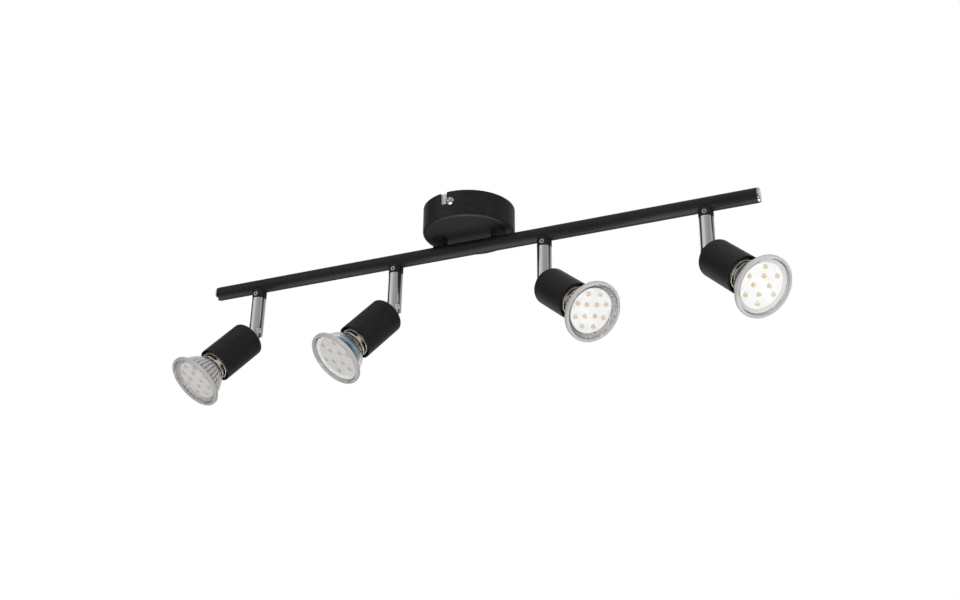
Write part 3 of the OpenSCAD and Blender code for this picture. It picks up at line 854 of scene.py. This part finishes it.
@dataclass
class Lamp:
    """One reflector lamp: glass, cover, chip board with its chips, foot and pins."""

    number: int
    palette: Palette
    bowl: Bowl
    phosphor: bpy.types.Material
    outer_count: int
    outer_radius: float
    outer_phase: float
    inner_radius: float
    inner_phase: float
    # Heading and distance of the grey pads' offset, which set where each chip's painted shadow falls.
    shade_heading: float
    shade_shift: float = 0.85
    neck_radius: float = 11.05
    neck_from: float = 35.0
    neck_to: float = 57.5
    bowl_radius: float = 22.2
    rim_radius: float = 25.0
    rim_from: float = 74.4
    front: float = 78.0
    cover_radius: float = 22.4
    glass: float = 1.2
    board_front: float = 73.6
    board_radius: float = 18.7
    rim_edges: tuple = (1.1, 1.3)
    seat_gap: float = 0.2
    seat_depth: float = 2.1
    ribs: int = 34
    rib_height: float = 0.1
    rim_teeth: int = 96
    tooth_height: float = 0.05
    cup_gap: float = 0.4
    cup_wall: float = 0.15
    flute: float = 0.34

    def bowl_curve(self, inset: float, steps: int = 26) -> np.ndarray:
        """Bowl section: as t runs from 0 to 1, r grows evenly and z with the square of t.

        Args:
            inset: how far inside the outer face the curve runs.
            steps: points along the curve.

        Returns:
            Array of (r, z) rows from the neck to the rim.
        """
        t = np.linspace(0.0, 1.0, steps)
        r = self.neck_radius + (self.bowl_radius - self.neck_radius) * t - inset
        z = self.neck_to + (self.rim_from - self.neck_to) * t ** 2 + inset * (1 - t)
        return np.stack([r, z], -1)

    def glass_shell(self) -> Surface:
        """Glass of the lamp: neck, bowl and rolled rim, with a seat for the cover.

        Returns:
            The closed shell; a ribbed bowl's outside carries raised ribs that fade at both ends
            and are etched on their crests, and the rim is etched all over.
        """
        outer, inner = self.bowl_curve(0.0), self.bowl_curve(self.glass)[::-1]
        rim, seat, floor = self.rim_radius, self.cover_radius + self.seat_gap, self.front - self.seat_depth
        (rear, fore), turn = self.rim_edges, np.radians(np.linspace(-90, 0, 5))
        low = np.stack([rim - rear + rear * np.cos(turn), self.rim_from + rear + rear * np.sin(turn)], -1)
        turn = turn[::-1]
        high = np.stack([rim - fore + fore * np.cos(turn), self.front - fore - fore * np.sin(turn)], -1)
        neck = np.array([[self.neck_radius, self.neck_from], [self.neck_radius, self.neck_to - 0.6]])
        lip = np.array([[seat + 0.5, self.front], [seat + 0.15, self.front - 0.1], [seat, self.front - 0.4],
                        [seat, floor], [seat - 1.1, floor]])
        inside = np.array([[self.neck_radius - self.glass, self.neck_from]])
        profile = np.concatenate([neck, outer, low, high, lip, inner, inside])
        ripple, etched = np.zeros(len(profile)), np.zeros(len(profile))
        bowl = slice(len(neck), len(neck) + len(outer))
        edge = slice(bowl.stop, bowl.stop + len(low) + len(high))
        etched[edge] = 1.0
        etched[edge.stop:edge.stop + len(lip)] = 0.6
        etched[edge.stop + len(lip):-1] = self.bowl.value.inner * np.linspace(1.0, 0.0, len(inner))
        etched[bowl] = self.bowl.value.etched * np.clip(np.linspace(-0.3, 2.0, len(outer)), 0, 1)
        if self.bowl is Bowl.RIBBED:
            share = np.linspace(0.0, 1.0, len(outer))
            fade = np.clip(np.minimum(share / 0.12, (1 - share) / 0.2), 0, 1)
            ripple[bowl] = self.rib_height * fade
            lobes, segments = self.ribs, self.ribs * 8
        else:
            ripple[edge] = self.tooth_height
            lobes, segments = self.rim_teeth, self.rim_teeth * 4
        shell = revolved(profile, segments, ripple, lobes)
        etched = np.repeat(etched[:, None], segments, axis=1)
        if self.bowl is Bowl.RIBBED:
            etched[bowl] *= 1 + np.cos(2 * np.pi * lobes * np.arange(segments) / segments)
        return Surface(shell.points, shell.faces, etched.reshape(-1))

    def mirror_cup(self) -> Surface:
        """Fluted metal mirror just inside a ribbed bowl: the bowl's curve out, and back a wall in.

        Returns:
            The closed cup, which ends a little short of the rim.
        """
        inset = self.glass + self.cup_gap
        outside, inside = self.bowl_curve(inset)[:-3], self.bowl_curve(inset + self.cup_wall)[:-3]
        film = np.concatenate([outside, inside[::-1]])
        return revolved(film, self.ribs * 8, np.full(len(film), self.flute), self.ribs)

    def cover_lens(self) -> Surface:
        """Cover glass: a disc with ground edges that crowns by 0.25 mm at its middle."""
        r = self.cover_radius
        share = np.linspace(1.0, 0.04, 12)
        crown = np.stack([(r - 0.35) * share, self.front - 0.95 + 0.25 * (1 - share ** 2)], -1)
        flat = np.array([[0.7, self.front - 1.95], [r - 0.35, self.front - 1.95], [r, self.front - 1.6],
                         [r, self.front - 1.3]])
        return revolved(np.concatenate([flat, crown]), 128, closed_profile=False)

    def board(self) -> Surface:
        """Chip board: a disc with a routed edge, its back ring raised where it rests on the foot."""
        r, top = self.board_radius, self.board_front
        section = np.array([[0.6, top - 1.6], [4.4, top - 1.6], [4.6, top - 1.3], [r - 0.3, top - 1.3],
                            [r, top - 1.05], [r, top - 0.18], [r - 0.18, top], [0.6, top]])
        return revolved(section, 128, closed_profile=False)

    def ring_spots(self) -> list:
        """Heading in degrees and radius of every chip, outer ring first."""
        outer = [(self.outer_phase + 360 * k / self.outer_count, self.outer_radius)
                 for k in range(self.outer_count)]
        inner = [(self.inner_phase + 90 * k, self.inner_radius) for k in range(4)]
        return outer + inner

    def spots(self, block: Surface) -> Surface:
        """One small block repeated at every chip's place, as one surface in the lamp's frame."""
        base = Placement(np.zeros(3), *np.eye(3))
        return merged([block.placed(base.turned(heading).shifted(radius, 0.0, self.board_front))
                       for heading, radius in self.ring_spots()])

    def shade_pads(self) -> Surface:
        """Grey pad under every chip, all of them standing out to the same side of the board, as painted
        shadow beside each chip.
        """
        pad = softened_block(*SHADE_PAD)
        way = np.radians(self.shade_heading)
        axes = np.eye(3)
        copies = []
        for heading, radius in self.ring_spots():
            turn = np.radians(heading)
            middle = np.array([radius * np.cos(turn) + self.shade_shift * np.cos(way),
                               radius * np.sin(turn) + self.shade_shift * np.sin(way), self.board_front])
            copies.append(pad.placed(Placement(middle, *axes)))
        return merged(copies)

    def driver_parts(self) -> dict:
        """Parts of the driver that show through the neck and a clear bowl, each with its finish; a clear bowl
        also gets a teal ring as painted reflection.

        Returns:
            Surfaces in the lamp's frame and their materials, by piece name without its number.
        """
        x_axis, y_axis, z_axis = np.eye(3)
        capacitor = softened_block(*CAPACITOR)
        stands = [Placement(np.array([0.0, side * CAPACITOR_RADIUS, CAPACITOR_FOOT]),
                            side * y_axis, -side * x_axis, z_axis) for side in (-1, 1)]
        coil = revolved(np.array(COIL_SECTION), 20, closed_profile=False)
        feet = [Placement(np.array([x, y, COIL_FOOT]), x_axis, y_axis, z_axis) for x, y in COIL_SPOTS]
        parts = {"driver_can": (revolved(np.array(CAN_SECTION), 72), self.palette.driver),
                 "choke_coils": (merged([coil.placed(foot) for foot in feet]), self.palette.copper),
                 "film_capacitors": (merged([capacitor.placed(stand) for stand in stands]),
                                     self.palette.lacquer)}
        # The teal ring in a clear bowl stands in for a reflection: painted reflection.
        if self.bowl is Bowl.CLEAR:
            parts["film_band"] = (revolved(np.array(TEAL_REFLECTION_SECTION), 96), self.palette.band)
        return parts

    def build(self) -> None:
        """Makes the lamp's pieces and dresses its foot and pins."""
        place, body, tag = joint_place(self.number, "lamp_lock"), f"lamp_{self.number}", self.number
        ribbed = self.bowl is Bowl.RIBBED
        add_piece(f"bowl_glass_{tag}", self.glass_shell().placed(place), body,
                  self.palette.frosted if ribbed else self.palette.clear, replaces=(f"lamp_glass_{tag}",))
        add_piece(f"cover_lens_{tag}", self.cover_lens().placed(place), body,
                  self.palette.cover, replaces=(f"lamp_cover_{tag}",))
        add_piece(f"chip_board_{tag}", self.board().placed(place), body, self.palette.mask,
                  replaces=(f"led_board_{tag}",))
        add_piece(f"chips_{tag}", self.spots(softened_block(*CHIP)).placed(place),
                  body, self.palette.chip, replaces=(f"led_chips_{tag}",))
        add_piece(f"phosphor_{tag}", self.spots(softened_block(*GEL)).placed(place),
                  body, self.phosphor)
        # Grey pads beside the chips: painted shadow.
        add_piece(f"pads_painted_shadow_{tag}", self.shade_pads().placed(place), body, self.palette.pad)
        if ribbed:
            add_piece(f"mirror_cup_{tag}", self.mirror_cup().placed(place), body,
                      self.palette.cup)
        for name, (surface, material) in self.driver_parts().items():
            add_piece(f"{name}_{tag}", surface.placed(place), body, material)
        dress(f"lamp_base_{tag}", self.palette.ceramic)
        dress(f"lamp_pins_{tag}", self.palette.screw)


# ---------------------------------------------------------------- studio


@dataclass
class Studio:
    """Camera, floor, soft lights and surrounding light."""

    eye: tuple = (0.38706, -0.84541, -0.48331)
    azimuth: float = 19.73
    climb: float = 23.67
    roll: float = -1.34
    lens: float = 44.5
    shift: tuple = (-0.0844, -0.0106)
    floor_z: float = -0.62
    floor_half: float = 3.0
    floor_dip: float = 0.002
    lights: tuple = (("key_light", (1.2, -1.6, 1.2), (1.2, 1.2), 30.0),
                     ("low_light", (0.0, -1.4, -0.55), (1.6, 0.3), 10.0),
                     ("side_light", (0.85, -0.6, -0.5), (0.4, 0.4), 6.5))
    front_heading: float = 67.0
    panels: tuple = ((0, 0.42), (42, 0.38), (60, 0.66), (70, 0.6), (76, 0.08), (92, 0.1), (102, 0.38),
                     (140, 0.5), (160, 1.0), (210, 1.0), (232, 0.06), (262, 0.03), (272, 0.85), (308, 0.8),
                     (332, 0.5), (360, 0.42))
    below: tuple = ((0.0, 4.5), (0.05, 4.0), (0.13, 0.3), (0.44, 0.2), (1.0, 0.2))

    def camera(self) -> None:
        """Camera low in front and to the right, looking up.

        Its view is turned about Z by the azimuth, raised by the climb, then rolled.
        """
        a, e, r = (math.radians(v) for v in (self.azimuth, self.climb, self.roll))
        ahead = np.array([-math.sin(a) * math.cos(e), math.cos(a) * math.cos(e), math.sin(e)])
        right = np.cross(ahead, [0, 0, 1])
        right /= np.linalg.norm(right)
        up = np.cross(right, ahead)
        right, up = (math.cos(r) * right + math.sin(r) * up, -math.sin(r) * right + math.cos(r) * up)
        data = bpy.data.cameras.new("camera")
        data.lens, data.sensor_width = self.lens, 36.0
        data.shift_x, data.shift_y = self.shift
        data.clip_start, data.clip_end = 0.01, 20.0
        camera = bpy.data.objects.new("camera", data)
        bpy.context.scene.collection.objects.link(camera)
        turn = Matrix(np.stack([right, up, -ahead], -1).tolist()).to_4x4()
        camera.matrix_world = Matrix.Translation(self.eye) @ turn
        bpy.context.scene.camera = camera

    def soft_light(self, name: str, at: tuple, size: tuple, watts: float) -> None:
        """Rectangular area light aimed at the middle of the bar, which no surface mirrors.

        Args:
            name: the light's name.
            at: its place, in metres.
            size: its width and height, in metres.
            watts: its power.
        """
        data = bpy.data.lights.new(name, "AREA")
        data.shape, data.size, data.size_y, data.energy = "RECTANGLE", size[0], size[1], watts
        light = bpy.data.objects.new(name, data)
        light.visible_camera = light.visible_glossy = False
        bpy.context.scene.collection.objects.link(light)
        aim = Vector((0.0, 0.0, -0.08)) - Vector(at)
        light.matrix_world = Matrix.Translation(at) @ aim.to_track_quat("-Z", "Y").to_matrix().to_4x4()

    def surround(self) -> None:
        """White surroundings; what mirrors them sees grey panels and dark flags standing round instead.

        The panels run round the object by compass heading, counted from the side the camera is on.
        Below the horizon it is dark, but for a bright patch straight below.
        """
        world = bpy.data.worlds.new("studio")
        bpy.context.scene.world = world
        world.use_nodes = True
        world.cycles.sampling_method = "NONE"
        tree = world.node_tree
        way = add_node(tree, "ShaderNodeTexCoord").outputs["Generated"]
        split = add_node(tree, "ShaderNodeSeparateXYZ", links={"Vector": way})
        heading = add_node(tree, "ShaderNodeMath", {"operation": "ARCTAN2"}, {0: split.outputs["Y"],
                                                                              1: split.outputs["X"]})
        turned = add_node(tree, "ShaderNodeMath", {"operation": "ADD", 1: math.radians(self.front_heading)},
                          {0: heading.outputs[0]})
        share = add_node(tree, "ShaderNodeMath", {"operation": "MULTIPLY", 1: 1 / math.tau},
                         {0: turned.outputs[0]})
        wrapped = add_node(tree, "ShaderNodeMath", {"operation": "FRACT"}, {0: share.outputs[0]})
        panels = levels(tree, wrapped.outputs[0], [(angle / 360, level) for angle, level in self.panels])
        height = add_node(tree, "ShaderNodeMath", {"operation": "MULTIPLY_ADD", 1: 0.5, 2: 0.5},
                          {0: split.outputs["Z"]})
        below = levels(tree, height.outputs[0], self.below)
        sunk = add_node(tree, "ShaderNodeMapRange", {"From Min": 0.0, "From Max": -0.08},
                        {"Value": split.outputs["Z"]})
        mirrored = add_node(tree, "ShaderNodeMix", {"data_type": "RGBA"},
                            {0: sunk.outputs[0], 6: panels, 7: below})
        path = add_node(tree, "ShaderNodeLightPath")
        pick = add_node(tree, "ShaderNodeMix", {"data_type": "RGBA"},
                        {0: path.outputs["Is Glossy Ray"], 7: mirrored.outputs[2]})
        pick.inputs[6].default_value = (1.0, 1.0, 1.0, 1.0)
        back = tree.nodes["Background"]
        tree.links.new(pick.outputs[2], back.inputs["Color"])
        back.inputs["Strength"].default_value = 1.0
        bpy.context.scene.view_settings.view_transform = "Standard"

    def floor(self) -> None:
        """Pale floor well below the fixture: a square grid that dips by a hair at its edges."""
        span = np.linspace(-self.floor_half, self.floor_half, 25)
        x, y = np.meshgrid(span, span, indexing="ij")
        z = self.floor_z - self.floor_dip * (x ** 2 + y ** 2) / (2 * self.floor_half ** 2)
        count = len(span)
        i, j = np.meshgrid(np.arange(count - 1), np.arange(count - 1), indexing="ij")
        quads = np.stack([i * count + j, (i + 1) * count + j, (i + 1) * count + j + 1, i * count + j + 1], -1)
        mesh = bpy.data.meshes.new("floor")
        mesh.from_pydata(np.stack([x, y, z], -1).reshape(-1, 3).tolist(), [], quads.reshape(-1, 4).tolist())
        ground = bpy.data.objects.new("floor", mesh)
        bpy.context.scene.collection.objects.link(ground)
        mesh.materials.append(SmoothCoat("matt_floor_paint", "#ededec", "#f2f2f1", 0.7, 60.0).build())
        ground.visible_glossy = False

    def build(self) -> None:
        """Sets the whole studio."""
        self.camera()
        self.surround()
        self.floor()
        for light in self.lights:
            self.soft_light(*light)


# ---------------------------------------------------------------- the fixture


def lamps(palette: Palette) -> list:
    """The four lamps: two makes, one after the other, with the chip rings of each."""
    ribbed = dict(bowl=Bowl.RIBBED, outer_count=8, outer_radius=14.2, outer_phase=-8.0, inner_radius=6.6,
                  inner_phase=-28.0)
    clear = dict(bowl=Bowl.CLEAR, outer_count=6, outer_radius=14.7, inner_radius=7.3)
    # Each side's shade heading sets where the painted shadow beside each chip falls.
    left = dict(phosphor=palette.warm, shade_heading=-130.0)
    right = dict(phosphor=palette.pale, shade_heading=-110.0)
    return [Lamp(1, palette, **ribbed, **left),
            Lamp(2, palette, outer_phase=14.0, inner_phase=11.0, **clear, **left),
            Lamp(3, palette, **ribbed, **right),
            Lamp(4, palette, outer_phase=18.0, inner_phase=14.0, **clear, **right)]


def main() -> None:
    """Builds the studio and each sub-assembly in order."""
    logging.basicConfig(level=logging.INFO, format="%(message)s")
    palette = Palette()
    Studio().build()
    CeilingMount(palette).build()
    BarTube(palette).build()
    for number in range(1, LAMP_COUNT + 1):
        Arm(number, palette).build()
        Head(number, palette).build()
    for lamp in lamps(palette):
        lamp.build()


if __name__ == "__main__":
    main()
